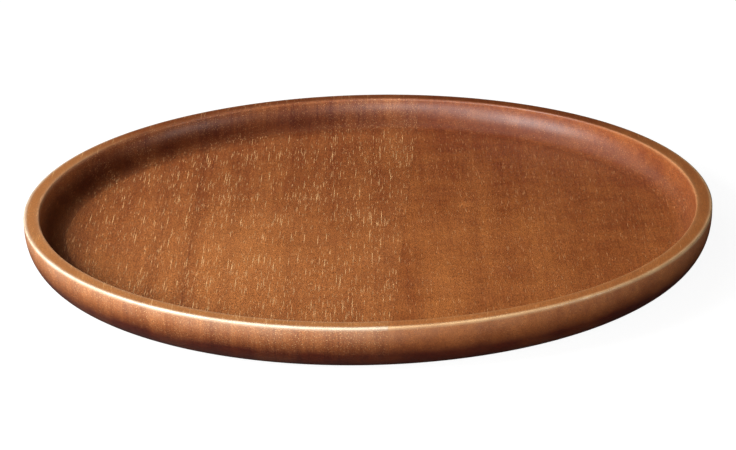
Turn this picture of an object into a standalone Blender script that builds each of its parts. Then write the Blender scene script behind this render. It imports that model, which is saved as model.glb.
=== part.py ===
"""Offering plate: a shallow round wooden tray with a coved well.

The blank is two boards glued edge to edge along one upright plane, and the whole plate is turned
from it, so both boards carry their share of the same turned profile. The origin is on the plate's
axis at the underside, +Z is up, and the grain runs along Y.
"""

import math

import bmesh
import bpy
from mathutils import Matrix, Vector

MM = 0.001

# Overall sizes.
OUTER_DIAMETER = 300 * MM
HEIGHT = 22 * MM

# Outside of the wall: a full curve that rolls under to the flat underside.
WALL_OVERHANG = 21 * MM          # from the flat underside's edge out to the widest point
WALL_FULLNESS = 2.5              # 2 is an ellipse, more is squarer

# Rim and well.
RIM_WIDTH = 7 * MM
RIM_LEAN = math.radians(2.5)     # how far the crowned rim leans outwards where its outer arris starts
OUTER_ARRIS = 0.7 * MM           # rounding of the rim's outer edge
INNER_ARRIS = 0.8 * MM           # rounding of the rim's inner edge
FLOOR_THICKNESS = 9.7 * MM
COVE_REACH = 11 * MM             # how far the cove runs in from the rim's inner edge

# Glued joint between the boards.
JOINT_OFFSET = 16 * MM           # from the plate's axis to the joint, towards +X
JOINT_YAW = math.radians(3.5)    # the joint's turn away from the Y axis, clockwise from above
GLUE_LINE = 0.3 * MM

# How finely the curves are divided.
TURN_STEPS = 96
WALL_STEPS = 10
COVE_STEPS = 7
ARRIS_STEPS = 4
RIM_STEPS = 3

OUTER_RADIUS = OUTER_DIAMETER / 2
RIM_INNER_RADIUS = OUTER_RADIUS - RIM_WIDTH
FLOOR_RADIUS = RIM_INNER_RADIUS - COVE_REACH
FOOT_RADIUS = OUTER_RADIUS - WALL_OVERHANG

# The rim's crown is a parabola, level at its inner end and at RIM_LEAN at its outer end.
CROWN_START = RIM_INNER_RADIUS + INNER_ARRIS
CROWN_END = OUTER_RADIUS - OUTER_ARRIS * (1 - math.sin(RIM_LEAN))
CROWN_FALL = (CROWN_END - CROWN_START) * math.tan(RIM_LEAN) / 2
WALL_TOP = HEIGHT - CROWN_FALL - OUTER_ARRIS * math.cos(RIM_LEAN)
SHARP_ANGLE = math.radians(35)


def clear_scene():
    """Remove every object that is already in the scene."""
    for old in list(bpy.data.objects):
        bpy.data.objects.remove(old, do_unlink=True)


def wood(name, color, roughness):
    """Return a plain wood material with a Principled BSDF."""
    material = bpy.data.materials.new(name)
    material.use_nodes = True
    shader = material.node_tree.nodes["Principled BSDF"]
    shader.inputs["Base Color"].default_value = (*color, 1.0)
    shader.inputs["Roughness"].default_value = roughness
    shader.inputs["Metallic"].default_value = 0.0
    return material


def arc(center, radius, start, stop, steps):
    """Return points on a circular arc, both ends included, as (radius, height) pairs."""
    points = []
    for step in range(steps + 1):
        angle = start + (stop - start) * step / steps
        points.append((center[0] + radius * math.cos(angle), center[1] + radius * math.sin(angle)))
    return points


def wall_curve():
    """Return the outside of the wall, from the underside's edge up to the outer arris.

    The curve is a quarter of a superellipse: its share of the overhang and its share of the drop
    below the wall's top, each raised to WALL_FULLNESS, add up to one.
    """
    points = []
    for step in range(WALL_STEPS + 1):
        turn = math.pi / 2 * step / WALL_STEPS
        out = WALL_OVERHANG * math.sin(turn) ** (2 / WALL_FULLNESS)
        down = WALL_TOP * math.cos(turn) ** (2 / WALL_FULLNESS)
        points.append((FOOT_RADIUS + out, WALL_TOP - down))
    return points


def crown_curve():
    """Return the rim's crown between its two arrises, from the outer one to the inner one."""
    points = []
    for step in range(1, RIM_STEPS):
        share = 1 - step / RIM_STEPS
        radius = CROWN_START + (CROWN_END - CROWN_START) * share
        points.append((radius, HEIGHT - CROWN_FALL * share**2))
    return points


def cove_curve():
    """Return the cove, a quarter of an ellipse, from the inner arris down to the floor."""
    rise = HEIGHT - INNER_ARRIS - FLOOR_THICKNESS
    points = []
    for step in range(COVE_STEPS + 1):
        turn = math.pi / 2 * (1 - step / COVE_STEPS)
        radius = FLOOR_RADIUS + COVE_REACH * math.sin(turn)
        points.append((radius, FLOOR_THICKNESS + rise * (1 - math.cos(turn))))
    return points


def turned_profile():
    """Return the wall's section from the underside's edge, over the rim, to the floor's edge."""
    outer = (OUTER_RADIUS - OUTER_ARRIS, WALL_TOP)
    inner = (CROWN_START, HEIGHT - INNER_ARRIS)
    outer_arris = arc(outer, OUTER_ARRIS, 0, math.pi / 2 - RIM_LEAN, ARRIS_STEPS)
    inner_arris = arc(inner, INNER_ARRIS, math.pi / 2, math.pi, ARRIS_STEPS)
    return wall_curve()[:-1] + outer_arris + crown_curve() + inner_arris + cove_curve()[1:]


def turned_blank():
    """Return a mesh of the whole turned plate, with one flat face for its floor and its foot."""
    shape = bmesh.new()
    points = [shape.verts.new((radius, 0, height)) for radius, height in turned_profile()]
    section = [shape.edges.new(pair) for pair in zip(points, points[1:])]
    bmesh.ops.spin(shape, geom=points + section, axis=(0, 0, 1), cent=(0, 0, 0),
                   angle=2 * math.pi, steps=TURN_STEPS, use_merge=True)
    open_edges = [edge for edge in shape.edges if edge.is_boundary]
    bmesh.ops.holes_fill(shape, edges=open_edges, sides=0)
    bmesh.ops.recalc_face_normals(shape, faces=shape.faces)
    mesh = bpy.data.meshes.new("turned_blank")
    shape.to_mesh(mesh)
    shape.free()
    mesh.shade_smooth()
    mesh.set_sharp_from_angle(angle=SHARP_ANGLE)
    return mesh


def joint_side_cutter(name, side):
    """Return a block that fills the far side of the joint, half a glue line past its plane.

    Args:
        name: name of the cutter object.
        side: +1 for a block towards +X of the joint, -1 for one towards -X.
    """
    size = 2 * OUTER_DIAMETER
    shape = bmesh.new()
    bmesh.ops.create_cube(shape, size=size)
    mesh = bpy.data.meshes.new(name)
    shape.to_mesh(mesh)
    shape.free()
    cutter = bpy.data.objects.new(name, mesh)
    across = Vector((math.cos(JOINT_YAW), -math.sin(JOINT_YAW), 0))
    middle = across * (JOINT_OFFSET + side * (size - GLUE_LINE) / 2)
    cutter.matrix_world = Matrix.Translation(middle) @ Matrix.Rotation(-JOINT_YAW, 4, "Z")
    cutter.hide_render = True
    cutter.display_type = "WIRE"
    bpy.context.collection.objects.link(cutter)
    return cutter


def board(name, mesh, material, cutter):
    """Return one board: the turned plate less everything on the joint's far side."""
    piece = bpy.data.objects.new(name, mesh)
    piece.data.materials.append(material)
    bpy.context.collection.objects.link(piece)
    cut = piece.modifiers.new("joint_face", "BOOLEAN")
    cut.operation = "DIFFERENCE"
    cut.solver = "EXACT"
    cut.object = cutter
    return piece


def build():
    """Build the plate from its two boards."""
    clear_scene()
    right_block = joint_side_cutter("right_of_joint", 1)
    left_block = joint_side_cutter("left_of_joint", -1)
    ring_porous = wood("open_pored_board", (0.35, 0.115, 0.037), 0.38)
    close_grained = wood("close_grained_board", (0.26, 0.073, 0.024), 0.36)
    board("left_board", turned_blank(), ring_porous, right_block)
    board("right_board", turned_blank(), close_grained, left_block)


build()
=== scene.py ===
"""Dresses a turned wooden offering plate: a shallow round tray with a coved well.

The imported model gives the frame. The plate's two glued boards are replaced by finer turned
surfaces of the same section, and each board gets its own solid wood finish, so that the grain
runs through rim, cove, wall and underside as it does in a real board.
"""

import logging
import math
from dataclasses import dataclass
from enum import Enum

import bpy
import numpy as np
from mathutils import Matrix, Vector


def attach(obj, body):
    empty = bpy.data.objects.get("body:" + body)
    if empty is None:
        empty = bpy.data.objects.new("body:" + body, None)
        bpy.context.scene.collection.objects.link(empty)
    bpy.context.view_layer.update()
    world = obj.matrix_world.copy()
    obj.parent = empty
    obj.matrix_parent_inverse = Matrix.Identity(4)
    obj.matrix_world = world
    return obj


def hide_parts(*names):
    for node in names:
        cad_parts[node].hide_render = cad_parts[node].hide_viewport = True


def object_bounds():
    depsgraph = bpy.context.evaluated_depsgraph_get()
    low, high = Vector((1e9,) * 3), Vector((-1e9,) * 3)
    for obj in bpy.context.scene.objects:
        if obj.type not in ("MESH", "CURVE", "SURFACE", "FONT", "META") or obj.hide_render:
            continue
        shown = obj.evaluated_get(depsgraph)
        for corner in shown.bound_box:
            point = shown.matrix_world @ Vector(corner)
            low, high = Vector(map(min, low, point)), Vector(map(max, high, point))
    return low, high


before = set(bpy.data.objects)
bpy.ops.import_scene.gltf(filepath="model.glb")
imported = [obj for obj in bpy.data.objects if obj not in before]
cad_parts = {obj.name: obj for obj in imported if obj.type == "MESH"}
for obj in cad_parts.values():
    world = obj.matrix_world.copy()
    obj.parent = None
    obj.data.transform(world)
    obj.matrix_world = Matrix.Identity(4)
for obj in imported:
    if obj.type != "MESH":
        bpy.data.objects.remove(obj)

CAD_LOW, CAD_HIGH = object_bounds()
MM = 0.001
FULL_TURN = 2 * math.pi
SHARP_ANGLE = math.radians(35)
# Point masks: arris wear with a painted highlight, a painted sheen on the wall, painted shade at the foot,
# the rim's painted light and shade, and painted shade in the cove.
RUB = "rub"
HAZE = "haze"
POOL = "pool"
RIM = "rim"
COVE = "cove"
MASKS = (RUB, HAZE, POOL, RIM, COVE)
WHITE = (1.0, 1.0, 1.0, 1.0)
SEED_STEP = 37.0
PATTERN_STEP = 211.0
MIX_FIRST_COLOR, MIX_SECOND_COLOR, MIX_RESULT_COLOR = 6, 7, 2

log = logging.getLogger("offering_plate")

Socket = bpy.types.NodeSocket
Value = Socket | float
Color = Socket | tuple[float, float, float, float]
Triple = tuple[float, float, float]


class Side(Enum):
    """The side of the glued joint that a board lies on."""

    LEFT = -1
    RIGHT = 1


# ---- The turned shape ----


@dataclass(frozen=True)
class TurnedSection:
    """Section of the plate's wall, from the underside's edge over the rim to the floor's edge.

    Heights are above the underside and radii are from the turning axis, in metres.
    """

    outer_radius: float
    height: float
    wall_overhang: float = 21 * MM
    wall_fullness: float = 2.5
    rim_width: float = 7 * MM
    rim_lean: float = math.radians(2.5)
    outer_arris: float = 0.7 * MM
    inner_arris: float = 0.8 * MM
    floor_thickness: float = 9.7 * MM
    cove_reach: float = 11 * MM
    wall_steps: int = 40
    cove_steps: int = 30
    arris_steps: int = 8
    rim_steps: int = 5

    @property
    def foot_radius(self) -> float:
        """Radius of the flat underside."""
        return self.outer_radius - self.wall_overhang

    @property
    def rim_inner_radius(self) -> float:
        """Radius of the rim's inner edge."""
        return self.outer_radius - self.rim_width

    @property
    def floor_radius(self) -> float:
        """Radius of the well's flat floor."""
        return self.rim_inner_radius - self.cove_reach

    @property
    def crown_start(self) -> float:
        """Radius where the rim's crown starts, at the inner arris."""
        return self.rim_inner_radius + self.inner_arris

    @property
    def crown_end(self) -> float:
        """Radius where the rim's crown ends, at the outer arris."""
        return self.outer_radius - self.outer_arris * (1 - math.sin(self.rim_lean))

    @property
    def crown_fall(self) -> float:
        """How far the crown falls from its inner to its outer end."""
        return (self.crown_end - self.crown_start) * math.tan(self.rim_lean) / 2

    @property
    def wall_top(self) -> float:
        """Height where the wall ends and the outer arris starts."""
        return self.height - self.crown_fall - self.outer_arris * math.cos(self.rim_lean)

    def wall(self) -> np.ndarray:
        """Outside of the wall, from the foot up to the outer arris.

        A quarter of a superellipse: the share of the overhang and the share of the drop, each
        raised to the fullness, add up to one. Its points are spaced evenly along its length.

        Returns:
            Array of (radius, height) rows.
        """
        turn = np.linspace(0, math.pi / 2, 2000)
        out = self.wall_overhang * np.sin(turn) ** (2 / self.wall_fullness)
        down = self.wall_top * np.clip(np.cos(turn), 0, 1) ** (2 / self.wall_fullness)
        dense = np.column_stack([self.foot_radius + out, self.wall_top - down])
        return evenly_spaced(dense, self.wall_steps)

    def cove(self) -> np.ndarray:
        """Cove from the inner arris down to the floor, a quarter of an ellipse.

        Returns:
            Array of (radius, height) rows.
        """
        turn = np.linspace(math.pi / 2, 0, 2000)
        rise = self.height - self.inner_arris - self.floor_thickness
        radius = self.floor_radius + self.cove_reach * np.sin(turn)
        return evenly_spaced(
            np.column_stack([radius, self.floor_thickness + rise * (1 - np.cos(turn))]), self.cove_steps
        )

    def arris(self, center: tuple[float, float], size: float, start: float, stop: float) -> np.ndarray:
        """A circle's arc over one edge of the rim.

        Args:
            center: radius and height of the circle's centre.
            size: radius of the circle.
            start: angle where the arc starts, turning towards the axis.
            stop: angle where it ends.

        Returns:
            Array of (radius, height) rows.
        """
        turn = np.linspace(start, stop, self.arris_steps + 1)
        return np.column_stack([center[0] + size * np.cos(turn), center[1] + size * np.sin(turn)])

    def crown(self) -> np.ndarray:
        """The rim's crown between its arrises, from the outer one to the inner one.

        A parabola: the fall grows with the square of the share of the way out.

        Returns:
            Array of (radius, height) rows, without the two ends.
        """
        share = np.linspace(1, 0, self.rim_steps + 2)[1:-1]
        radius = self.crown_start + (self.crown_end - self.crown_start) * share
        return np.column_stack([radius, self.height - self.crown_fall * share**2])

    def points(self) -> np.ndarray:
        """The whole section.

        Returns:
            Array of (radius, height) rows, from the foot's edge to the floor's edge.
        """
        outer = (self.outer_radius - self.outer_arris, self.wall_top)
        inner = (self.crown_start, self.height - self.inner_arris)
        over_outer = self.arris(outer, self.outer_arris, 0.0, math.pi / 2 - self.rim_lean)
        over_inner = self.arris(inner, self.inner_arris, math.pi / 2, math.pi)
        return np.vstack([self.wall()[:-1], over_outer, self.crown(), over_inner, self.cove()[1:]])

    def rub(self, points: np.ndarray) -> np.ndarray:
        """How much handling rubs each point of the section, with a painted highlight on the arrises: 1 on
        the outer arris, less elsewhere.

        The share falls off as a bell curve of the distance to each arris.

        Args:
            points: array of (radius, height) rows.

        Returns:
            One share for each row.
        """
        out, inward = 0.3 * self.outer_arris, 0.3 * self.inner_arris
        outer = np.array([self.outer_radius - out, self.wall_top + 0.7 * self.outer_arris])
        inner = np.array([self.rim_inner_radius + inward, self.height - inward])
        over_outer = bell(np.linalg.norm(points - outer, axis=1), 0.8 * MM)
        over_inner = 0.2 * bell(np.linalg.norm(points - inner, axis=1), 1.1 * MM)
        return np.maximum(over_outer, over_inner)

    def rim_share(self, points: np.ndarray) -> np.ndarray:
        """Where the section is the top of the rim: 1 between the arrises, 0 elsewhere, the place of the
        rim's painted light and shade.

        Args:
            points: array of (radius, height) rows.

        Returns:
            One share for each row.
        """
        rise = self.height - self.crown_fall - self.wall_top
        high = np.clip((points[:, 1] - self.wall_top) / rise, 0, 1)
        return high * (points[:, 0] > self.rim_inner_radius)

    def haze(self, points: np.ndarray) -> np.ndarray:
        """Where a pale sheen is painted: the top of the wall, just under the outer arris.

        A bell curve of the drop below the wall's top, on the wall alone.

        Args:
            points: array of (radius, height) rows.

        Returns:
            One share for each row.
        """
        drop = np.maximum(self.wall_top - points[:, 1], 0)
        on_wall = points[:, 0] > self.outer_radius - self.outer_arris
        return np.where(on_wall, bell(drop, 4.5 * MM), 0.0)

    def pool(self, points: np.ndarray) -> np.ndarray:
        """Painted shade on the outside, darker towards the foot of the wall.

        It grows with the drop's share of the whole wall, raised to 1.35, until it is full well
        above the underside.

        Args:
            points: array of (radius, height) rows.

        Returns:
            One share for each row.
        """
        outside = points[:, 0] > self.rim_inner_radius
        outside |= points[:, 1] < self.floor_thickness - MM
        drop = np.clip(1 - points[:, 1] / self.wall_top, 0, 1)
        return np.where(outside, np.minimum(2.1 * drop**1.35, 1.0), 0.0)

    def pool_under(self, inward: np.ndarray) -> np.ndarray:
        """The same painted shade on the underside, by the distance in from its edge: full there, then a
        quarter.
        """
        return 0.25 + 0.75 * bell(inward, 14 * MM)

    def gathered(self, points: np.ndarray) -> np.ndarray:
        """Painted shade in the well: a bell curve about the middle of the cove.

        Args:
            points: array of (radius, height) rows.

        Returns:
            One share for each row.
        """
        middle = np.array([self.floor_radius + 0.72 * self.cove_reach, self.floor_thickness + 3 * MM])
        inside = points[:, 0] < self.rim_inner_radius
        inside &= points[:, 1] > self.floor_thickness - MM
        return np.where(inside, bell(np.linalg.norm(points - middle, axis=1), 9 * MM), 0.0)


def bell(away: np.ndarray, reach: float) -> np.ndarray:
    """A bell curve: e to the minus square of the distance over its reach.

    Args:
        away: distances.
        reach: distance where the curve has fallen to 1/e.

    Returns:
        One share for each distance.
    """
    return np.exp(-((away / reach) ** 2))


def evenly_spaced(dense: np.ndarray, steps: int) -> np.ndarray:
    """Points at equal distances along a line of many points.

    Args:
        dense: array of rows along the line.
        steps: number of spaces between the points returned.

    Returns:
        Array of steps + 1 rows, both ends included.
    """
    run = np.concatenate([[0], np.cumsum(np.linalg.norm(np.diff(dense, axis=0), axis=1))])
    at = np.linspace(0, run[-1], steps + 1)
    return np.column_stack([np.interp(at, run, column) for column in dense.T])


@dataclass(frozen=True)
class GluedJoint:
    """Upright plane where the two boards meet."""

    offset: float = 16 * MM
    yaw: float = math.radians(3.5)
    hairline: float = 0.02 * MM

    def toward(self, side: Side) -> np.ndarray:
        """Level unit vector that points out of the joint face of the board on the given side."""
        across = np.array([math.cos(self.yaw), -math.sin(self.yaw)])
        return -side.value * across

    def reach(self, side: Side) -> float:
        """Distance along toward() from the axis to the joint face of the board on the given side."""
        return -side.value * self.offset - self.hairline


@dataclass
class Board:
    """One board of the plate, as a closed turned surface that ends at the glued joint."""

    name: str
    node: str
    slot: str
    side: Side
    section: TurnedSection
    joint: GluedJoint
    turn_steps: int = 400
    chord_steps: int = 36

    def rings(self, points: np.ndarray) -> np.ndarray:
        """The turned wall as a grid of points.

        The two parameters are the place along the section and the share of the way round. At
        each radius the board spans the full turn less twice the angle whose cosine is the joint's
        distance over that radius, so every row starts and ends on the joint's plane.

        Args:
            points: the section, rows of (radius, height).

        Returns:
            Array of shape (section points, turn_steps + 1, 3).
        """
        radius, height = points[:, :1], points[:, 1:]
        first = np.arccos(self.joint.reach(self.side) / radius)
        share = np.linspace(0, 1, self.turn_steps + 1)[None]
        turn = first + (FULL_TURN - 2 * first) * share
        return self.place(radius * np.cos(turn), radius * np.sin(turn), height + 0 * turn)

    def place(self, out: np.ndarray, along: np.ndarray, height: np.ndarray) -> np.ndarray:
        """Turns distances out of and along the joint into points of the row frame.

        Args:
            out: distance towards the joint.
            along: distance along the joint, a quarter turn on from out.
            height: height above the underside.

        Returns:
            Array with a last axis of 3.
        """
        x, y = self.joint.toward(self.side)
        return np.stack([out * x - along * y, out * y + along * x, height], axis=-1)

    def disc(
        self, edge: np.ndarray, first_index: int, edge_index: np.ndarray
    ) -> tuple[np.ndarray, np.ndarray]:
        """A flat face bounded by one ring, as rows of points along chords parallel to the joint.

        Row j runs from the ring's point j to its point N - j by even steps, and the last row is
        the ring's middle point alone.

        Args:
            edge: the ring's points, in order.
            first_index: index that the first new point gets.
            edge_index: indices of the ring's points.

        Returns:
            The new points, and the grid of indices of the whole face.
        """
        half = self.turn_steps // 2
        share = np.linspace(0, 1, self.chord_steps + 1)[None, :, None]
        start, stop = edge[:half, None], edge[::-1][:half, None]
        inside = (start * (1 - share) + stop * share)[:, 1:-1]
        index = np.empty((half + 1, self.chord_steps + 1), dtype=int)
        index[:half, 0] = edge_index[:half]
        index[:half, -1] = edge_index[::-1][:half]
        index[:half, 1:-1] = first_index + np.arange(inside[..., 0].size).reshape(inside.shape[:2])
        index[half] = edge_index[half]
        return inside.reshape(-1, 3), index

    def build(self) -> bpy.types.Object:
        """Builds the board's mesh.

        Returns:
            The new object, in place, riding on nothing yet.
        """
        points = self.section.points()
        grid = self.rings(points)
        rows, columns = grid.shape[:2]
        ring_index = np.arange(rows * columns).reshape(rows, columns)
        foot, foot_index = self.disc(grid[0], ring_index.size, ring_index[0])
        floor, floor_index = self.disc(grid[-1], ring_index.size + len(foot), ring_index[-1])
        joint_face = np.concatenate([
            ring_index[:, 0],
            floor_index[0, 1:-1],
            ring_index[::-1, -1],
            foot_index[0, -2:0:-1],
        ])
        faces = quads(ring_index) + quads(floor_index) + quads(foot_index[:, ::-1]) + [joint_face.tolist()]
        mesh = bpy.data.meshes.new(self.name)
        mesh.from_pydata(np.vstack([grid.reshape(-1, 3), foot, floor]), [], faces)
        inward = self.section.foot_radius - np.linalg.norm(foot[:, :2], axis=1)
        # Wear and painted highlight on the arrises, painted sheen, painted shade at the foot and in the
        # cove, and the rim's painted light and shade.
        for attribute, shares, on_foot in (
            (RUB, self.section.rub(points), 0.0),
            (HAZE, self.section.haze(points), 0.0),
            (POOL, self.section.pool(points), self.section.pool_under(inward)),
            (RIM, self.section.rim_share(points), 0.0),
            (COVE, self.section.gathered(points), 0.0),
        ):
            values = np.zeros(len(mesh.vertices), dtype=np.float32)
            values[:ring_index.size] = np.repeat(shares, columns)
            values[ring_index.size:ring_index.size + len(foot)] = on_foot
            mesh.attributes.new(attribute, "FLOAT", "POINT").data.foreach_set("value", values)
        mesh.shade_smooth()
        mesh.set_sharp_from_angle(angle=SHARP_ANGLE)
        mesh.validate()
        piece = bpy.data.objects.new(self.name, mesh)
        bpy.context.collection.objects.link(piece)
        return piece

    def dress(self, piece: bpy.types.Object, finish: "WoodFinish") -> None:
        """Gives the board its wood, and says which CAD node it stands for.

        Args:
            piece: the board's object.
            finish: the wood's finish.
        """
        piece.data.materials.append(finish.material())
        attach(piece, "root")
        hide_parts(self.node)
        log.info("%s: %d faces, stands for %s", self.name, len(piece.data.polygons), self.node)


def quads(index: np.ndarray) -> list[list[int]]:
    """Faces between the neighbouring rows and columns of a grid of point indices.

    A face whose last row is a single point loses the corner that repeats it.

    Args:
        index: grid of point indices.

    Returns:
        One list of three or four corners for each face.
    """
    corners = np.stack([index[:-1, :-1], index[:-1, 1:], index[1:, 1:], index[1:, :-1]], axis=-1)
    corners = corners.reshape(-1, 4)
    single = corners[:, 2] == corners[:, 3]
    return corners[~single].tolist() + corners[single][:, :3].tolist()


# ---- Shader graphs ----


class Graph:
    """Adds nodes to a shader tree and joins their sockets."""

    def __init__(self, tree: bpy.types.NodeTree) -> None:
        """Keeps the material or group tree to add to."""
        self.tree = tree

    def node(self, kind: str, **settings: object) -> bpy.types.Node:
        """Adds a node.

        Args:
            kind: the node's type without its ShaderNode prefix.
            **settings: values of the node's own properties.

        Returns:
            The new node.
        """
        made = self.tree.nodes.new("ShaderNode" + kind)
        for name, value in settings.items():
            setattr(made, name, value)
        return made

    def feed(self, socket: Socket, value: Value | tuple[float, ...]) -> None:
        """Links a socket to another one, or sets its value.

        Args:
            socket: the input.
            value: an output to link, or a number, vector or colour.
        """
        if isinstance(value, bpy.types.NodeSocket):
            self.tree.links.new(value, socket)
        else:
            socket.default_value = value

    def close(self, **outputs: Socket) -> bpy.types.NodeTree:
        """Ends a node group.

        Args:
            **outputs: the group's outputs by name, where Color and Normal name their own kinds.

        Returns:
            The group.
        """
        for name in outputs:
            kind = {"Color": "Color", "Normal": "Vector"}.get(name, "Float")
            self.tree.interface.new_socket(name=name, in_out="OUTPUT", socket_type="NodeSocket" + kind)
        leave = self.tree.nodes.new("NodeGroupOutput")
        for name, value in outputs.items():
            self.feed(leave.inputs[name], value)
        return self.tree

    def math(self, operation: str, first: Value, second: Value = 0.0, clamp: bool = False) -> Socket:
        """A Math node's result.

        Args:
            operation: the node's operation.
            first: first value.
            second: second value.
            clamp: whether the result is kept within 0 and 1.

        Returns:
            The result.
        """
        made = self.node("Math", operation=operation, use_clamp=clamp)
        self.feed(made.inputs[0], first)
        self.feed(made.inputs[1], second)
        return made.outputs[0]

    def vector(self, operation: str, first: Socket, second: Socket | Triple) -> Socket:
        """A Vector Math node's vector.

        Args:
            operation: the node's operation.
            first: first vector.
            second: second vector.

        Returns:
            The vector.
        """
        made = self.node("VectorMath", operation=operation)
        self.feed(made.inputs[0], first)
        self.feed(made.inputs[1], second)
        return made.outputs[0]

    def rise(self, value: Value, low: Value, high: Value, start: Value = 0.0, stop: Value = 1.0) -> Socket:
        """A smooth step from start to stop as the value goes from low to high.

        Args:
            value: the value.
            low: where the step starts.
            high: where it ends.
            start: result at low and under it.
            stop: result at high and over it.

        Returns:
            The result.
        """
        made = self.node("MapRange", interpolation_type="SMOOTHSTEP", clamp=True)
        for socket, each in zip(made.inputs, (value, low, high, start, stop)):
            self.feed(socket, each)
        return made.outputs[0]

    def noise(
        self, vector: Socket, scale: float = 1.0, detail: float = 2.0, roughness: float = 0.5
    ) -> Socket:
        """A Noise node's value, 0 to 1.

        Args:
            vector: where to read it.
            scale: features per unit.
            detail: how many finer layers are added.
            roughness: strength of the finer layers.

        Returns:
            The value.
        """
        made = self.node("TexNoise")
        self.feed(made.inputs["Vector"], vector)
        self.feed(made.inputs["Scale"], scale)
        self.feed(made.inputs["Detail"], detail)
        self.feed(made.inputs["Roughness"], roughness)
        return made.outputs["Fac"]

    def length(self, vector: Socket) -> Socket:
        """A vector's length.

        Args:
            vector: the vector.

        Returns:
            The length.
        """
        made = self.node("VectorMath", operation="LENGTH")
        self.feed(made.inputs[0], vector)
        return made.outputs["Value"]

    def axis(self, vector: Socket, name: str) -> Socket:
        """One part of a vector.

        Args:
            vector: the vector.
            name: X, Y or Z.

        Returns:
            That part's value.
        """
        made = self.node("SeparateXYZ")
        self.feed(made.inputs[0], vector)
        return made.outputs[name]

    def mix(self, share: Value, first: Color, second: Color, blend: str = "MIX") -> Socket:
        """A mixed colour.

        Args:
            share: share of the second colour.
            first: first colour.
            second: second colour.
            blend: the Mix node's blend type.

        Returns:
            The mixed colour.
        """
        made = self.node("Mix", data_type="RGBA", blend_type=blend)
        self.feed(made.inputs[0], share)
        self.feed(made.inputs[MIX_FIRST_COLOR], first)
        self.feed(made.inputs[MIX_SECOND_COLOR], second)
        return made.outputs[MIX_RESULT_COLOR]

    def group(self, tree: bpy.types.NodeTree, **values: object) -> bpy.types.Node:
        """Places a node group.

        Args:
            tree: the group.
            **values: what its inputs get, by name.

        Returns:
            The group's node.
        """
        made = self.node("Group", node_tree=tree)
        for name, value in values.items():
            self.feed(made.inputs[name], value)
        return made


def new_group(name: str, **inputs: object) -> tuple[Graph, dict[str, Socket]]:
    """Starts a shader node group.

    Args:
        name: the group's name.
        **inputs: default of each input: a number, four numbers for a colour, or None for a vector.

    Returns:
        The group's graph, and its inputs by name.
    """
    tree = bpy.data.node_groups.new(name, "ShaderNodeTree")
    for key, value in inputs.items():
        kind = "Vector" if value is None else "Color" if isinstance(value, tuple) else "Float"
        socket = tree.interface.new_socket(name=key, in_out="INPUT", socket_type="NodeSocket" + kind)
        if value is not None:
            socket.default_value = value
    entry = tree.nodes.new("NodeGroupInput")
    return Graph(tree), {key: entry.outputs[key] for key in inputs}


def shifted(graph: Graph, place: Socket, move: float) -> Socket:
    """Coordinates in millimetres moved far away, so that patterns don't repeat each other."""
    return graph.vector("ADD", place, (move, move * 1.7, move * 0.6))


def squeezed(graph: Graph, place: Socket, sizes: tuple[Value, Value, Value]) -> Socket:
    """Coordinates counted in features of the given size.

    Args:
        graph: the graph to add to.
        place: coordinates in millimetres.
        sizes: a feature's size along X, Y and Z.

    Returns:
        The coordinates, where one unit is one feature.
    """
    size = graph.node("CombineXYZ")
    for socket, each in zip(size.inputs, sizes):
        graph.feed(socket, each)
    return graph.vector("DIVIDE", place, size.outputs[0])


def pore_group() -> bpy.types.NodeTree:
    """Open pores: long thin ellipsoids scattered in the wood, lying along the grain.

    Space is squeezed along the grain, split into random cells, and each cell holds a ball of a
    random size about its point, or none. The mask is 1 inside a ball.

    Returns:
        The group.
    """
    graph, given = new_group("open_pores", Place=None, Width=1.0, Length=10.0, Share=0.5)
    place = squeezed(graph, given["Place"], (given["Width"], given["Length"], given["Width"]))
    cells = graph.node("TexVoronoi", feature="F1")
    graph.feed(cells.inputs["Vector"], place)
    graph.feed(cells.inputs["Scale"], 1.0)
    draw = graph.node("SeparateColor")
    graph.feed(draw.inputs[0], cells.outputs["Color"])
    size = graph.rise(draw.outputs[1], 0.0, 1.0, 0.16, 0.34)
    ball = graph.rise(graph.math("DIVIDE", cells.outputs["Distance"], size), 0.35, 1.0, 1.0, 0.0)
    there = graph.math("LESS_THAN", draw.outputs[0], given["Share"])
    return graph.close(Mask=graph.math("MULTIPLY", ball, there))


def crowd_group() -> bpy.types.NodeTree:
    """How closely the pores stand: a slow noise about one that multiplies their share.

    Returns:
        The group.
    """
    graph, given = new_group("pore_crowd", Place=None)
    slow = graph.noise(graph.vector("MULTIPLY", given["Place"], (0.05, 0.02, 0.05)))
    return graph.close(Crowd=graph.rise(slow, 0.3, 0.7, 0.6, 1.3))


def fibre_group() -> bpy.types.NodeTree:
    """Fibre streaks: noise drawn out along the grain, with a finer noise added.

    Across, Along and Deep are the size of a streak to the side, along the grain and upwards.
    The result swings about a half.

    Returns:
        The group.
    """
    graph, given = new_group("fibre_streaks", Place=None, Across=1.0, Along=60.0, Deep=1.0)
    place = squeezed(graph, given["Place"], (given["Across"], given["Along"], given["Deep"]))
    return graph.close(Streak=graph.noise(place, detail=3.0, roughness=0.6))


def figure_group() -> bpy.types.NodeTree:
    """Mottled figure: soft patches whose tone swings about a half.

    Returns:
        The group.
    """
    graph, given = new_group("mottled_figure", Place=None, Across=16.0, Along=9.0)
    place = squeezed(graph, given["Place"], (given["Across"], given["Along"], given["Across"]))
    return graph.close(Patch=graph.noise(place, roughness=0.55))


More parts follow.
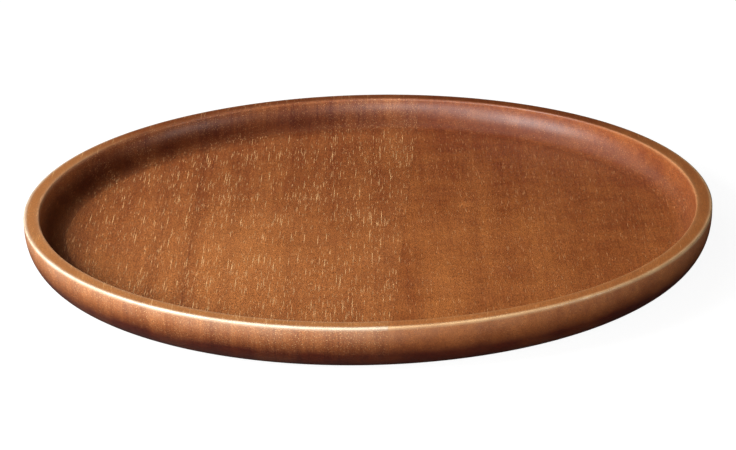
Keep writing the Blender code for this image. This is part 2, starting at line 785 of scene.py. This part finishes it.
def growth_line_group() -> bpy.types.NodeTree:
    """A dark late-wood line: a thin sheet in the wood, upright and along the grain, that wanders.

    The sheet sways slowly and shivers finely. The mask is a bell over the distance to the sheet,
    broken up along its run by noise, with a softer shade on both sides of it.

    Returns:
        The group.
    """
    graph, given = new_group("growth_line", Place=None, Offset=0.0, Width=1.0, Sway=5.0, Shiver=1.6)
    away = graph.math("SUBTRACT", graph.axis(given["Place"], "X"), given["Offset"])
    for stretch, amount in (((0.004, 0.013, 0.03), "Sway"), ((0.02, 0.11, 0.12), "Shiver")):
        slow = graph.noise(graph.vector("MULTIPLY", given["Place"], stretch), detail=1.0)
        swing = graph.math("MULTIPLY", graph.math("SUBTRACT", slow, 0.5), given[amount])
        away = graph.math("ADD", away, swing)
    share = graph.math("DIVIDE", graph.math("ABSOLUTE", away), given["Width"])
    line = graph.rise(share, 0.0, 1.0, 1.0, 0.0)
    shade = graph.rise(share, 0.0, 4.0, 0.5, 0.0)
    breaks = graph.noise(graph.vector("MULTIPLY", given["Place"], (0.35, 0.045, 0.35)))
    whole = graph.math("MULTIPLY", line, graph.rise(breaks, 0.35, 0.62, 0.15, 1.0))
    return graph.close(Mask=graph.math("MAXIMUM", whole, shade))


def bump_group() -> bpy.types.NodeTree:
    """A smooth bump of tone about one upright line at X, Y, a little longer along the grain.

    Returns:
        The group.
    """
    graph, given = new_group("tone_bump", Place=None, X=0.0, Y=0.0, Reach=10.0, Amount=0.1)
    center = graph.node("CombineXYZ")
    for axis in "XY":
        graph.feed(center.inputs[axis], given[axis])
    away = graph.vector("SUBTRACT", given["Place"], center.outputs[0])
    length = graph.length(graph.vector("MULTIPLY", away, (1.0, 0.8, 0.0)))
    return graph.close(Tone=graph.rise(length, 0.0, given["Reach"], given["Amount"], 0.0))


def cut_group() -> bpy.types.NodeTree:
    """How squarely the surface cuts the fibres across: 1 where it shows end grain.

    Returns:
        The group.
    """
    graph, given = new_group("end_grain_cut", Normal=None)
    facing = graph.math("ABSOLUTE", graph.axis(given["Normal"], "Y"))
    return graph.close(Cut=graph.rise(facing, 0.25, 0.95))


def tone_group(fibres: bpy.types.NodeTree, figure: bpy.types.NodeTree) -> bpy.types.NodeTree:
    """Share of the warm colour: broad bands, fibre streaks and the mottled figure together.

    Start is the place that the patterns are read from, and Bumps is tone from elsewhere. Growth
    rings stand out more where the surface cuts them across, by Rings, and each streak is Depth
    times as deep as it is wide.

    Args:
        fibres: the group of fibre streaks.
        figure: the group of mottled figure.

    Returns:
        The group.
    """
    graph, given = new_group(
        "wood_tone", Place=None, Start=None, Drift=None, Bumps=0.0, Cut=0.0, Rings=1.0, Depth=1.0,
        Streak=0.5, Figure=0.5, Across=20.0, Along=20.0,
    )
    streak, patches = given["Streak"], given["Figure"]
    rings = graph.math("MULTIPLY", given["Cut"], given["Rings"])
    rings = graph.math("ADD", rings, graph.math("MULTIPLY", streak, 0.7))
    sources = (
        (fibres, 16.0, 240.0, 0.9),
        (fibres, 3.0, 110.0, rings),
        (fibres, 1.1, 42.0, streak),
        (fibres, 0.5, 14.0, streak),
        (figure, given["Across"], given["Along"], patches),
        (
            figure,
            graph.math("MULTIPLY", given["Across"], 0.33),
            graph.math("MULTIPLY", given["Along"], 0.33),
            graph.math("MULTIPLY", patches, 0.5),
        ),
    )
    slope = graph.node("VectorMath", operation="DOT_PRODUCT")
    graph.feed(slope.inputs[0], given["Place"])
    graph.feed(slope.inputs[1], given["Drift"])
    total = graph.math("ADD", graph.math("ADD", slope.outputs["Value"], 0.5), given["Bumps"])
    for step, (group, wide, long, weight) in enumerate(sources):
        place = shifted(graph, given["Start"], (7 + step) * PATTERN_STEP)
        read = graph.group(group, Place=place, Across=wide, Along=long)
        if group is fibres:
            graph.feed(read.inputs["Deep"], graph.math("MULTIPLY", given["Depth"], wide))
        swing = graph.math("SUBTRACT", read.outputs[0], 0.5)
        total = graph.math("ADD", total, graph.math("MULTIPLY", swing, weight))
    return graph.close(Tone=graph.math("ADD", total, 0.0, clamp=True))


def grit_group() -> bpy.types.NodeTree:
    """Fine grit of cut cells: the colour shaded by two sizes of short grain noise about one.

    Returns:
        The group.
    """
    graph, given = new_group("cell_grit", Place=None, Color=WHITE, Fine=1.0, Coarse=0.5)
    shade: Value = 1.0
    for stretch, amount in (((3.4, 0.6, 3.4), "Fine"), ((1.2, 0.10, 1.2), "Coarse")):
        grain = graph.noise(graph.vector("MULTIPLY", given["Place"], stretch), detail=1.0, roughness=0.6)
        swing = graph.math("MULTIPLY", graph.math("SUBTRACT", grain, 0.5), given[amount])
        shade = graph.math("ADD", swing, shade)
    shaded = graph.node("HueSaturation")
    graph.feed(shaded.inputs["Value"], shade)
    graph.feed(shaded.inputs["Color"], given["Color"])
    return graph.close(Color=shaded.outputs[0])


def gathered_stain_group() -> bpy.types.NodeTree:
    """The colour, darker and redder where shade is painted.

    The first mask is the painted shade of the wall's foot and the underside. Cove is the mask of
    the painted shade in the cove, stronger on the left, where the cove lies in shadow.

    Returns:
        The group.
    """
    graph, given = new_group("gathered_stain", Place=None, Color=WHITE, Pool=0.0, Cove=0.0)
    # Painted shade in the cove, stronger on the left, where the cove lies in shadow.
    drained = graph.rise(graph.axis(given["Place"], "X"), -70.0, 70.0, 0.85, 0.36)
    pool = graph.math("ADD", given["Pool"], graph.math("MULTIPLY", given["Cove"], drained))
    uneven = graph.rise(graph.noise(given["Place"], scale=0.06, detail=1.0), 0.25, 0.75, 0.9, 1.1)
    share = graph.math("MULTIPLY", pool, uneven, clamp=True)
    # The painted shade multiplies in a dark red-brown.
    return graph.close(Color=graph.mix(share, given["Color"], (0.17, 0.065, 0.040, 1), blend="MULTIPLY"))


def wear_group() -> bpy.types.NodeTree:
    """Handling wear and painted light on the colour, in three places that masks mark.

    The top of the rim gets painted light in front and painted shade at the back, the top of the
    wall gets a painted pale sheen, more so on the lit left, and the arrises have lost stain and
    carry a painted highlight, most of all in front.

    Returns:
        The group.
    """
    graph, given = new_group(
        "edge_wear", Place=None, Color=WHITE, Rim=0.0, Haze=0.0, Rub=0.0, Pale=WHITE, Dark=WHITE, Bare=WHITE
    )
    place, color = given["Place"], given["Color"]
    x, y = graph.axis(place, "X"), graph.axis(place, "Y")
    # Painted light on the front of the rim's top, painted shade at its back.
    for shade, at_front, at_back in ((given["Pale"], 0.42, 0.0), (given["Dark"], 0.0, 0.50)):
        share = graph.rise(y, 60.0, 115.0, at_front, at_back)
        color = graph.mix(graph.math("MULTIPLY", given["Rim"], share), color, shade)
    # A painted pale sheen on the wall's top, stronger on the lit left; the rubbed arrises with a painted
    # highlight, stronger in front.
    for mask, shade, held, scale, low, high in (
        (given["Haze"], (0.78, 0.64, 0.47, 1), graph.rise(x, -20.0, 90.0, 1.0, 0.25), 0.07, 0.08, 0.17),
        (given["Rub"], given["Bare"], graph.rise(y, 30.0, 110.0, 1.0, 0.2), 0.12, 0.55, 0.85),
    ):
        uneven = graph.rise(graph.noise(place, scale=scale, detail=3.0), 0.3, 0.7, low, high)
        share = graph.math("MULTIPLY", graph.math("MULTIPLY", mask, held), uneven)
        color = graph.mix(share, color, shade)
    return graph.close(Color=color)


def gloss_group() -> bpy.types.NodeTree:
    """Roughness of the satin varnish: duller in the pores, and burnished where hands rub.

    Returns:
        The group.
    """
    graph, given = new_group("satin_varnish", Place=None, Pores=0.0, Rub=0.0, Satin=0.42, Burnish=0.2)
    uneven = graph.rise(graph.noise(given["Place"], scale=0.08, detail=3.0), 0.3, 0.7, -0.03, 0.03)
    dull = graph.math("MULTIPLY", given["Pores"], 0.15)
    rough = graph.math("ADD", graph.math("ADD", uneven, given["Satin"]), dull)
    burnished = graph.math("MULTIPLY", given["Rub"], given["Burnish"])
    return graph.close(Roughness=graph.math("SUBTRACT", rough, burnished, clamp=True))


def relief_group(fibres: bpy.types.NodeTree) -> bpy.types.NodeTree:
    """Normal: pores sink a little, and the fibres stand in fine ridges under the varnish.

    Args:
        fibres: the group of fibre streaks.

    Returns:
        The group.
    """
    graph, given = new_group("fine_relief", Place=None, Pores=0.0)
    fine = graph.group(fibres, Place=given["Place"], Across=0.5, Along=14.0, Deep=0.5)
    bump = graph.node("Bump")
    graph.feed(bump.inputs["Strength"], 0.25)
    graph.feed(bump.inputs["Distance"], 0.06 * MM)
    height = graph.math("SUBTRACT", graph.math("MULTIPLY", fine.outputs[0], 0.35), given["Pores"])
    graph.feed(bump.inputs["Height"], height)
    return graph.close(Normal=bump.outputs[0])


class WoodGroups:
    """The node groups that both boards' finishes use."""

    def __init__(self) -> None:
        """Builds each group once."""
        self.pores, self.crowd, self.growth_line = pore_group(), crowd_group(), growth_line_group()
        self.fibres, self.figure = fibre_group(), figure_group()
        self.tone = tone_group(self.fibres, self.figure)
        self.bump, self.cut, self.grit = bump_group(), cut_group(), grit_group()
        self.stain, self.wear = gathered_stain_group(), wear_group()
        self.gloss, self.relief = gloss_group(), relief_group(self.fibres)


@dataclass(frozen=True)
class Pores:
    """One size of open pore."""

    width: float
    length: float
    share: float
    strength: float


@dataclass(frozen=True)
class GrowthLine:
    """One dark late-wood line."""

    offset: float
    width: float
    strength: float


@dataclass(frozen=True)
class Spot:
    """A change about one upright line, strongest on the line and gone at its reach."""

    x: float
    y: float
    reach: float
    amount: float


@dataclass(frozen=True)
class WoodFinish:
    """Stained and satin-varnished wood of one board.

    Lengths are in millimetres, and drift is how the tone changes over 100 mm along X and Y.
    """

    name: str
    groups: WoodGroups
    warm: Triple
    pore_color: Triple
    # Colour of the rubbed arrises, which also paints their highlight.
    rub_color: Triple
    # Painted light on the front of the rim's top.
    rim_color: Triple
    grain_yaw: float
    pores: tuple[Pores, ...]
    growth_lines: tuple[GrowthLine, ...]
    streak: float
    figure: float
    figure_size: tuple[float, float]
    drift: tuple[float, float]
    pale_spots: tuple[Spot, ...]
    grit: tuple[float, float]
    end_rings: float
    ring_depth: float
    seed: float
    pin_knot: Spot | None = None
    deep: Triple = (0.205, 0.042, 0.009)
    # Colour of growth lines and end grain, also the painted shade at the back of the rim.
    line_color: Triple = (0.15, 0.030, 0.008)
    end_grain: float = 0.12
    varnish_ior: float = 1.5

    def material(self) -> bpy.types.Material:
        """Builds the wood's material.

        Returns:
            The material.
        """
        made = bpy.data.materials.new(self.name)
        made.use_nodes = True
        graph = Graph(made.node_tree)
        shader = made.node_tree.nodes["Principled BSDF"]
        where = graph.node("TexCoord")
        place = self.grain_place(graph, where.outputs["Object"])
        pores = self.pore_mask(graph, place)
        cut = graph.group(self.groups.cut, Normal=where.outputs["Normal"]).outputs[0]
        marks = {mask: graph.node("Attribute", attribute_name=mask).outputs["Fac"] for mask in MASKS}
        color = graph.mix(self.tone(graph, place, cut), (*self.deep, 1), (*self.warm, 1))
        color = graph.mix(self.line_mask(graph, place), color, (*self.line_color, 1))
        color = graph.mix(graph.math("MULTIPLY", cut, self.end_grain), color, (*self.line_color, 1))
        color = graph.mix(pores, color, (*self.pore_color, 1))
        fine, coarse = self.grit
        color = graph.group(
            self.groups.grit, Place=self.start(graph, place, 20), Color=color, Fine=fine, Coarse=coarse
        ).outputs[0]
        # Painted shade towards the wall's foot, on the underside and in the cove.
        color = graph.group(
            self.groups.stain, Place=place, Color=color, Pool=marks[POOL], Cove=marks[COVE]
        ).outputs[0]
        # Wear plus painted light: the rim's light and shade, the wall's sheen and the arris highlight.
        color = graph.group(
            self.groups.wear, Place=place, Color=color, Rim=marks[RIM], Haze=marks[HAZE], Rub=marks[RUB],
            Pale=(*self.rim_color, 1), Dark=(*self.line_color, 1), Bare=(*self.rub_color, 1),
        ).outputs[0]
        rough = graph.group(self.groups.gloss, Place=place, Pores=pores, Rub=marks[RUB])
        relief = graph.group(self.groups.relief, Place=self.start(graph, place, 15), Pores=pores)
        graph.feed(shader.inputs["Base Color"], color)
        graph.feed(shader.inputs["Roughness"], rough.outputs[0])
        graph.feed(shader.inputs["Normal"], relief.outputs[0])
        graph.feed(shader.inputs["IOR"], self.varnish_ior)
        return made

    def grain_place(self, graph: Graph, place: Socket) -> Socket:
        """Coordinates in millimetres, with Y along this board's grain.

        Beside a pin knot they close up towards its centre line, so that the grain flows round it.

        Args:
            graph: the material's graph.
            place: the object's coordinates in metres.

        Returns:
            The board's coordinates.
        """
        turn = graph.node("Mapping", vector_type="POINT")
        graph.feed(turn.inputs["Vector"], place)
        graph.feed(turn.inputs["Rotation"], (0.0, 0.0, self.grain_yaw))
        graph.feed(turn.inputs["Scale"], (1 / MM, 1 / MM, 1 / MM))
        turned = turn.outputs[0]
        if self.pin_knot is None:
            return turned
        knot = self.pin_knot
        away = graph.vector("SUBTRACT", turned, (knot.x, knot.y, 0.0))
        length = graph.length(graph.vector("MULTIPLY", away, (1.0, 0.6, 0.0)))
        push = graph.node("CombineXYZ")
        graph.feed(push.inputs["X"], graph.rise(length, 0.0, knot.reach, knot.amount, 0.0))
        return graph.vector("SUBTRACT", turned, graph.vector("MULTIPLY", away, push.outputs[0]))

    def start(self, graph: Graph, place: Socket, step: int) -> Socket:
        """Where the board's pattern with the given number is read from, in millimetres."""
        return shifted(graph, place, self.seed * SEED_STEP + step * PATTERN_STEP)

    def pore_mask(self, graph: Graph, place: Socket) -> Socket:
        """Where the open pores are, all sizes together.

        Args:
            graph: the material's graph.
            place: coordinates in millimetres.

        Returns:
            The mask.
        """
        crowd = graph.group(self.groups.crowd, Place=self.start(graph, place, 5)).outputs[0]
        mask: Value = 0.0
        for step, each in enumerate(self.pores):
            cells = graph.group(
                self.groups.pores, Place=self.start(graph, place, step), Width=each.width,
                Length=each.length, Share=graph.math("MULTIPLY", crowd, each.share),
            )
            mask = graph.math("MAXIMUM", mask, graph.math("MULTIPLY", cells.outputs[0], each.strength))
        return mask

    def line_mask(self, graph: Graph, place: Socket) -> Socket:
        """Where the dark growth lines are.

        Args:
            graph: the material's graph.
            place: coordinates in millimetres.

        Returns:
            The mask.
        """
        mask: Value = 0.0
        for each in self.growth_lines:
            line = graph.group(self.groups.growth_line, Place=place, Offset=each.offset, Width=each.width)
            mask = graph.math("MAXIMUM", mask, graph.math("MULTIPLY", line.outputs[0], each.strength))
        return mask

    def tone(self, graph: Graph, place: Socket, cut: Socket) -> Socket:
        """Share of the warm colour.

        Args:
            graph: the material's graph.
            place: coordinates in millimetres.
            cut: how squarely the surface cuts the fibres across.

        Returns:
            The share, 0 to 1.
        """
        bumps: Value = 0.0
        for spot in self.pale_spots:
            bump = graph.group(
                self.groups.bump, Place=place, X=spot.x, Y=spot.y, Reach=spot.reach, Amount=spot.amount
            )
            bumps = graph.math("ADD", bump.outputs[0], bumps)
        across, along = self.figure_size
        return graph.group(
            self.groups.tone, Place=place, Start=self.start(graph, place, 0), Bumps=bumps, Cut=cut,
            Drift=(self.drift[0] / 100, self.drift[1] / 100, 0.0), Rings=self.end_rings,
            Depth=self.ring_depth, Streak=self.streak, Figure=self.figure, Across=across, Along=along,
        ).outputs[0]


# ---- The studio ----


@dataclass(frozen=True)
class Softbox:
    """A square area light, aimed at the plate. Its azimuth and elevation are in degrees."""

    name: str
    azimuth: float
    elevation: float
    distance: float
    size: float
    power: float
    color: Triple = (1.0, 1.0, 1.0)

    def place(self, target: Vector) -> None:
        """Sets the light up.

        Args:
            target: the point that it is aimed at.
        """
        around, up = math.radians(self.azimuth), math.radians(self.elevation)
        away = Vector((math.sin(around) * math.cos(up), -math.cos(around) * math.cos(up), math.sin(up)))
        lamp = bpy.data.lights.new(self.name, "AREA")
        lamp.shape, lamp.size = "SQUARE", self.size
        lamp.energy, lamp.color = self.power, self.color
        light = bpy.data.objects.new(self.name, lamp)
        light.matrix_world = Matrix.Translation(target + away * self.distance) @ (
            (-away).to_track_quat("-Z", "Y").to_matrix().to_4x4()
        )
        bpy.context.collection.objects.link(light)


@dataclass(frozen=True)
class Camera:
    """Where the plate is seen from: the front, a little above it, slightly rolled. Angles in radians."""

    distance: float = 1.5296
    elevation: float = math.radians(19.72)
    pan: float = math.radians(0.0033)
    pitch: float = math.radians(-0.4070)
    roll: float = math.radians(-1.337)
    lens: float = 171.1956522
    sensor_width: float = 36.0

    def place(self, target: Vector) -> None:
        """Sets the camera up, and makes it the scene's.

        Args:
            target: the centre of the rim, which it would face without pitch and roll.
        """
        down = self.elevation - self.pitch
        back = Vector((0, -math.cos(self.elevation), math.sin(self.elevation)))
        turn = (
            Matrix.Rotation(self.pan, 4, "Z")
            @ Matrix.Rotation(math.pi / 2 - down, 4, "X")
            @ Matrix.Rotation(self.roll, 4, "Z")
        )
        data = bpy.data.cameras.new("camera")
        data.sensor_width = self.sensor_width
        data.lens = self.lens
        data.clip_start, data.clip_end = 0.01, 100.0
        camera = bpy.data.objects.new("camera", data)
        camera.matrix_world = Matrix.Translation(target + back * self.distance) @ turn
        bpy.context.collection.objects.link(camera)
        bpy.context.scene.camera = camera


@dataclass(frozen=True)
class Studio:
    """A pale floor, soft lights and the camera."""

    lights: tuple[Softbox, ...]
    camera: Camera
    ambient: float
    floor_size: float = 6.0

    def floor(self) -> None:
        """Lays the floor under the plate: a flat sheet, a grid of two parameters."""
        steps = np.linspace(-self.floor_size / 2, self.floor_size / 2, 9)
        x, y = np.meshgrid(steps, steps)
        points = np.stack([x, y, np.zeros_like(x)], axis=-1).reshape(-1, 3)
        mesh = bpy.data.meshes.new("studio_floor")
        mesh.from_pydata(points, [], quads(np.arange(x.size).reshape(x.shape)))
        floor = bpy.data.objects.new("studio_floor", mesh)
        mesh.materials.append(self.floor_material())
        bpy.context.collection.objects.link(floor)

    def floor_material(self) -> bpy.types.Material:
        """White paper to the eye, and a dim surface to the light that bounces off it.

        Returns:
            The material.
        """
        made = bpy.data.materials.new("studio_paper")
        made.use_nodes = True
        graph = Graph(made.node_tree)
        made.node_tree.nodes.remove(made.node_tree.nodes["Principled BSDF"])
        paper, dim, glow = graph.node("BsdfDiffuse"), graph.node("BsdfDiffuse"), graph.node("Emission")
        paper.inputs["Color"].default_value = (0.2, 0.2, 0.2, 1)
        dim.inputs["Color"].default_value = (0.1, 0.1, 0.1, 1)
        glow.inputs["Color"].default_value = (0.92, 0.92, 0.92, 1)
        seen, both = graph.node("AddShader"), graph.node("MixShader")
        graph.feed(seen.inputs[0], paper.outputs[0])
        graph.feed(seen.inputs[1], glow.outputs[0])
        graph.feed(both.inputs[0], graph.node("LightPath").outputs["Is Camera Ray"])
        graph.feed(both.inputs[1], dim.outputs[0])
        graph.feed(both.inputs[2], seen.outputs[0])
        graph.feed(made.node_tree.nodes["Material Output"].inputs["Surface"], both.outputs[0])
        return made

    def world(self) -> None:
        """Even light from the room, and a white backdrop to the eye."""
        world = bpy.data.worlds.new("studio_world")
        world.use_nodes = True
        graph = Graph(world.node_tree)
        room = world.node_tree.nodes["Background"]
        room.inputs["Strength"].default_value = self.ambient
        backdrop, both = graph.node("Background"), graph.node("MixShader")
        backdrop.inputs["Strength"].default_value = 1.0
        backdrop.inputs["Color"].default_value = (1, 1, 1, 1)
        graph.feed(both.inputs[0], graph.node("LightPath").outputs["Is Camera Ray"])
        graph.feed(both.inputs[1], room.outputs[0])
        graph.feed(both.inputs[2], backdrop.outputs[0])
        graph.feed(world.node_tree.nodes["World Output"].inputs["Surface"], both.outputs[0])
        bpy.context.scene.world = world

    def place(self, rim_center: Vector) -> None:
        """Sets up the floor, the world, the lights and the camera.

        Args:
            rim_center: centre of the plate's rim.
        """
        self.floor()
        self.world()
        for light in self.lights:
            light.place(rim_center)
        self.camera.place(rim_center)
        bpy.context.scene.view_settings.view_transform = "Standard"


# ---- The plate ----


@dataclass
class OfferingPlate:
    """The whole plate: two boards turned as one."""

    section: TurnedSection
    joint: GluedJoint

    def finishes(self) -> dict[Side, WoodFinish]:
        """The two boards' woods: open-pored on the left, close-grained on the right.

        Returns:
            One finish for each side.
        """
        groups = WoodGroups()
        left = WoodFinish(
            name="open_pored_wood", groups=groups, warm=(0.47, 0.160, 0.042),
            pore_color=(0.78, 0.44, 0.19), rub_color=(0.92, 0.78, 0.58), rim_color=(0.50, 0.225, 0.070),
            grain_yaw=math.radians(1.3),
            pores=(
                Pores(0.72, 27.0, 0.60, 0.95),
                Pores(0.58, 16.0, 0.70, 0.85),
                Pores(0.45, 7.0, 0.75, 0.65),
            ),
            growth_lines=(
                GrowthLine(-91.0, 1.6, 0.40),
                GrowthLine(-77.0, 1.6, 0.55),
                GrowthLine(-60.0, 1.4, 0.35),
                GrowthLine(-33.0, 1.4, 0.25),
            ),
            streak=0.55, figure=0.50, figure_size=(19.0, 22.0), drift=(0.0, -0.14),
            pale_spots=(Spot(-48.0, -28.0, 85.0, 0.36),),
            grit=(1.9, 0.15), end_rings=1.5, ring_depth=12.0, seed=1.0,
        )
        right = WoodFinish(
            name="close_grained_wood", groups=groups, warm=(0.46, 0.150, 0.036),
            pore_color=(0.60, 0.28, 0.11), rub_color=(0.86, 0.57, 0.30), rim_color=(0.45, 0.175, 0.052),
            grain_yaw=math.radians(-0.5),
            pores=(
                Pores(0.60, 12.0, 0.40, 0.75),
                Pores(0.45, 6.0, 0.60, 0.70),
            ),
            growth_lines=(GrowthLine(47.0, 0.9, 0.25),),
            streak=0.50, figure=0.60, figure_size=(20.0, 13.0), drift=(-0.08, -0.20),
            pale_spots=(Spot(44.0, -8.0, 60.0, 0.16), Spot(43.8, 24.7, 3.6, 0.32)),
            grit=(1.7, 0.15), end_rings=0.8, ring_depth=1.6, seed=2.0,
            pin_knot=Spot(43.8, 23.7, 9.0, 0.70),
        )
        return {Side.LEFT: left, Side.RIGHT: right}

    def build(self) -> None:
        """Builds and dresses both boards."""
        finishes = self.finishes()
        for side, node, slot in (
            (Side.LEFT, "left_board", "open_pored_wood"),
            (Side.RIGHT, "right_board", "close_grained_wood"),
        ):
            board = Board(f"{node}_turned", node, slot, side, self.section, self.joint)
            board.dress(board.build(), finishes[side])


def studio() -> Studio:
    """The lights, the room and the camera.

    Returns:
        The studio.
    """
    lights = (
        Softbox("key_left", -70.0, 28.0, 1.2, 0.7, 20.0),
        Softbox("high_left", -120.0, 50.0, 1.4, 1.4, 6.2),
        Softbox("front", -8.0, 12.0, 1.2, 0.5, 6.8),
        Softbox("low_front", -35.0, 12.0, 1.2, 0.5, 5.6),
        Softbox("low_right", 66.0, 5.0, 1.2, 0.5, 4.0),
    )
    return Studio(lights=lights, camera=Camera(), ambient=0.003)


def main() -> None:
    """Builds the plate and its studio."""
    logging.basicConfig(level=logging.INFO, format="%(name)s: %(message)s")
    section = TurnedSection(outer_radius=(CAD_HIGH.x - CAD_LOW.x) / 2, height=CAD_HIGH.z)
    OfferingPlate(section, GluedJoint()).build()
    studio().place(Vector((0, 0, CAD_HIGH.z)))


if __name__ == "__main__":
    main()
